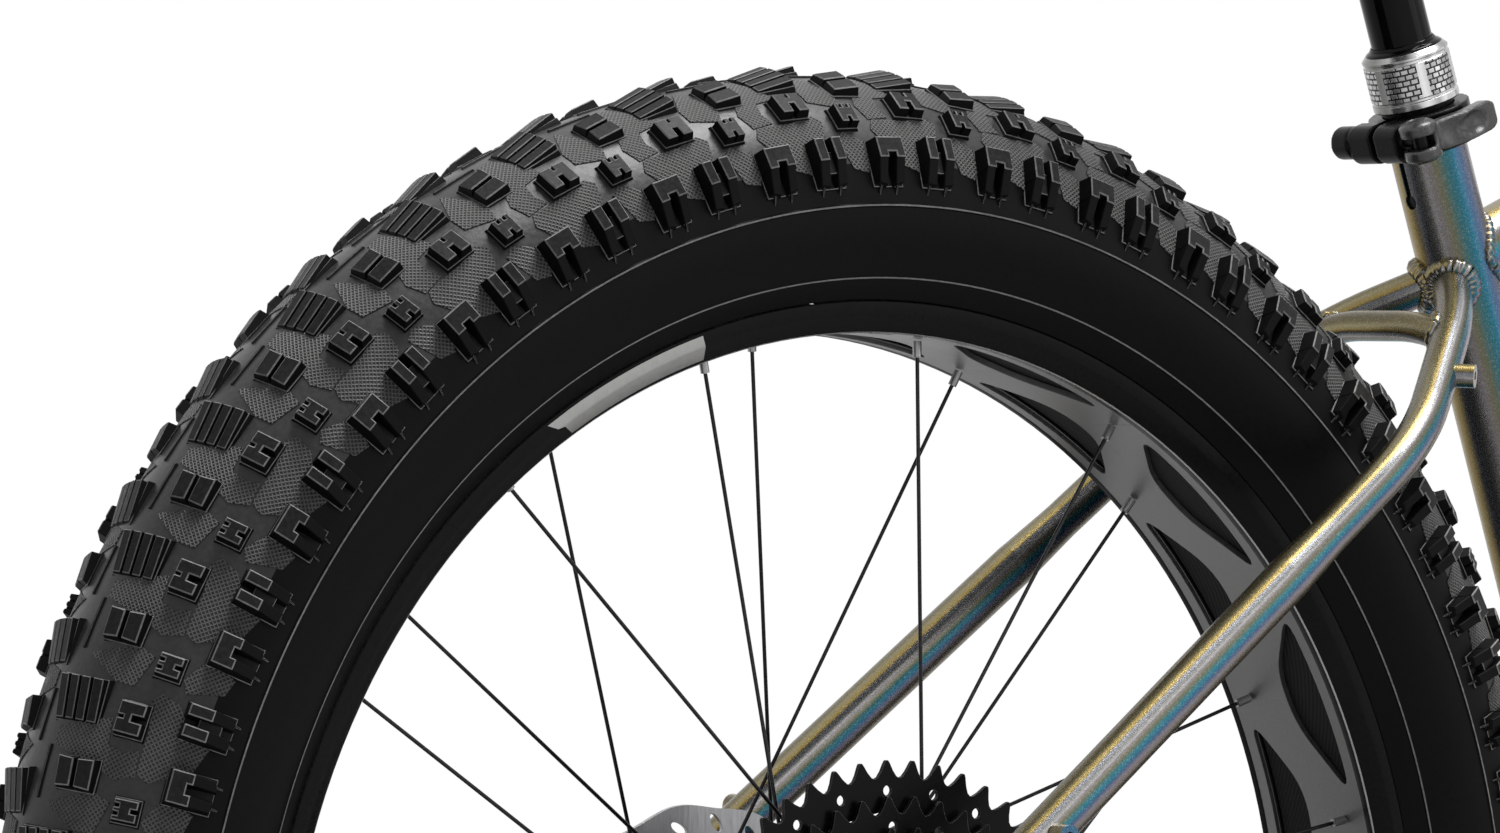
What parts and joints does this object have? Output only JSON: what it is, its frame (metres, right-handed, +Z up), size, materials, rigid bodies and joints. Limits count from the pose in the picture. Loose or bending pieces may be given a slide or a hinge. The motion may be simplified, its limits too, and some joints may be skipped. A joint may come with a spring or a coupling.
{
  "type": "fat tire bicycle",
  "caption": "Rigid fat tire bicycle with wide knobby tyres, cutout rims, disc brakes, one chainring and a dropper seatpost, whose wheels, cranks, steering and levers move.",
  "frame": {"origin": "on the ground, midway between the two wheels' contact points", "axes": "+X forward along the bicycle, +Y to the rider's left, +Z up"},
  "size_m": [1.9098, 0.763, 1.0361],
  "materials": {
    "frame_metal": "polished metal under an iridescent clear coat",
    "black_metal": "satin black",
    "gloss_black": "gloss black",
    "silver_metal": "satin",
    "dark_lever": "satin dark gray",
    "tyre_rubber": "matte black rubber",
    "rim_metal": "satin black side walls and a gray bed",
    "strip_black": "matte black woven strip",
    "spoke_black": "black with silver nipples",
    "rotor_steel": "brushed",
    "cassette_black": "black",
    "chain_steel": "bright",
    "steel": "ground",
    "grip_rubber": "matte ribbed rubber",
    "saddle_skin": "fine grain",
    "black_plastic": "moulded",
    "hose_black": "smooth"
  },
  "bodies": {
    "frame": {"seat_tube": "frame_metal", "top_tube": "frame_metal", "down_tube": "frame_metal", "head_tube": "frame_metal", "bottom_bracket_shell": "frame_metal", "seatstay_left": "frame_metal", "seatstay_right": "frame_metal", "stay_bridges": "frame_metal", "chainstays": "frame_metal", "dropout_left": "frame_metal", "dropout_right": "frame_metal", "rear_thru_axle": "steel", "bottom_bracket_bearings": "black_metal", "headset_bearings": "black_metal", "seat_clamp": "black_metal", "rear_brake_caliper": "black_metal", "rear_brake_hose": "hose_black", "shift_housing": "hose_black", "dropper_outer_tube": "black_metal", "dropper_collar": "silver_metal", "chain": "chain_steel"},
    "clamp_lever": {"seat_clamp_lever": "dark_lever"},
    "seatpost": {"dropper_stanchion": "gloss_black", "saddle_rails": "steel", "saddle_shell": "black_plastic", "saddle_cover": "saddle_skin"},
    "rear_wheel": {"rear_tyre": "tyre_rubber", "rear_rim": "rim_metal", "rear_rim_strip": "strip_black", "rear_spokes": "spoke_black", "rear_hub": "black_metal", "rear_brake_rotor": "rotor_steel"},
    "cassette": {"cassette": "cassette_black", "freehub_body": "steel"},
    "cranks": {"crank_arms": "black_metal", "chainring": "black_metal"},
    "pedal_left": {"pedal_left": "black_plastic"},
    "pedal_right": {"pedal_right": "black_plastic"},
    "derailleur": {"derailleur_body": "black_metal"},
    "derailleur_cage": {"derailleur_cage": "black_metal"},
    "guide_pulley": {"guide_pulley": "black_plastic"},
    "tension_pulley": {"tension_pulley": "black_plastic"},
    "steering": {"fork": "black_metal", "stem": "black_metal", "handlebar": "black_metal", "grips": "grip_rubber", "bar_controls": "black_metal", "front_brake_caliper": "black_metal", "bar_hoses": "hose_black", "front_thru_axle": "steel"},
    "front_wheel": {"front_tyre": "tyre_rubber", "front_rim": "rim_metal", "front_rim_strip": "strip_black", "front_spokes": "spoke_black", "front_hub": "black_metal", "front_brake_rotor": "rotor_steel"},
    "brake_lever_left": {"brake_lever_left": "black_metal"},
    "brake_lever_right": {"brake_lever_right": "black_metal"},
    "shift_lever": {"shift_lever": "black_plastic"},
    "dropper_remote": {"dropper_remote_lever": "black_plastic"}
  },
  "joints": [
    {"name": "steering", "type": "hinge", "parent": "frame", "child": "steering", "pos_m": [0.35549, 0, 0.80777], "axis": [-0.3584, 0, 0.9336], "range_deg": [-50, 50]},
    {"name": "front_wheel_spin", "type": "hinge", "parent": "steering", "child": "front_wheel", "pos_m": [0.57394, 0, 0.381], "axis": [0, 1, 0], "continuous": true},
    {"name": "rear_wheel_spin", "type": "hinge", "parent": "frame", "child": "rear_wheel", "pos_m": [-0.57394, 0, 0.381], "axis": [0, 1, 0], "continuous": true},
    {"name": "crank_spin", "type": "hinge", "parent": "frame", "child": "cranks", "pos_m": [-0.11182, 0, 0.321], "axis": [0, 1, 0], "continuous": true, "deforming": ["chain"]},
    {"name": "cassette_spin", "type": "hinge", "parent": "frame", "child": "cassette", "pos_m": [-0.57394, 0, 0.381], "axis": [0, 1, 0], "continuous": true},
    {"name": "pedal_left_spin", "type": "hinge", "parent": "cranks", "child": "pedal_left", "pos_m": [-0.28182, 0.17, 0.321], "axis": [0, 1, 0], "continuous": true},
    {"name": "pedal_right_spin", "type": "hinge", "parent": "cranks", "child": "pedal_right", "pos_m": [0.05818, -0.17, 0.321], "axis": [0, 1, 0], "continuous": true},
    {"name": "derailleur_swing", "type": "hinge", "parent": "frame", "child": "derailleur", "pos_m": [-0.56794, -0.105, 0.352], "axis": [0, 1, 0], "range_deg": [0, 30], "stiffness_Nm_per_rad": 4, "springref_deg": -5.73, "deforming": ["chain"]},
    {"name": "cage_pivot", "type": "hinge", "parent": "derailleur", "child": "derailleur_cage", "pos_m": [-0.55994, 0, 0.29], "axis": [0, 1, 0], "range_deg": [-25, 40], "stiffness_Nm_per_rad": 2.5, "deforming": ["chain"]},
    {"name": "guide_pulley_spin", "type": "hinge", "parent": "derailleur_cage", "child": "guide_pulley", "pos_m": [-0.55994, 0, 0.29], "axis": [0, 1, 0], "continuous": true},
    {"name": "tension_pulley_spin", "type": "hinge", "parent": "derailleur_cage", "child": "tension_pulley", "pos_m": [-0.52813, 0, 0.20261], "axis": [0, 1, 0], "continuous": true},
    {"name": "dropper_slide", "type": "slide", "parent": "frame", "child": "seatpost", "axis": [-0.304, 0, 0.9527], "range_m": [-0.125, 0], "stiffness_N_per_m": 400, "springref_m": 0.5},
    {"name": "clamp_lever_swing", "type": "hinge", "parent": "frame", "child": "clamp_lever", "pos_m": [-0.268, -0.025, 0.73145], "axis": [0.304, 0, -0.9527], "range_deg": [0, 165]},
    {"name": "brake_lever_left_pull", "type": "hinge", "parent": "steering", "child": "brake_lever_left", "pos_m": [0.35524, 0.20944, 1.02362], "axis": [-0.3584, 0, 0.9336], "range_deg": [0, 13], "stiffness_Nm_per_rad": 1.5, "springref_deg": -5.73},
    {"name": "brake_lever_right_pull", "type": "hinge", "parent": "steering", "child": "brake_lever_right", "pos_m": [0.35524, -0.20944, 1.02362], "axis": [0.3584, 0, -0.9336], "range_deg": [0, 13], "stiffness_Nm_per_rad": 1.5, "springref_deg": -5.73},
    {"name": "shift_lever_push", "type": "hinge", "parent": "steering", "child": "shift_lever", "pos_m": [0.33019, -0.16417, 1.014], "axis": [0.3584, 0, -0.9336], "range_deg": [0, 28], "stiffness_Nm_per_rad": 0.8, "springref_deg": -5.73},
    {"name": "dropper_remote_push", "type": "hinge", "parent": "steering", "child": "dropper_remote", "pos_m": [0.33019, 0.16417, 1.014], "axis": [-0.3584, 0, 0.9336], "range_deg": [0, 28], "stiffness_Nm_per_rad": 0.8, "springref_deg": -5.73}
  ],
  "couplings": [
    {"joint": "cassette_spin", "follows": "crank_spin", "ratio": 1.0714},
    {"joint": "guide_pulley_spin", "follows": "crank_spin", "ratio": -2.5},
    {"joint": "tension_pulley_spin", "follows": "crank_spin", "ratio": 2.5}
  ]
}
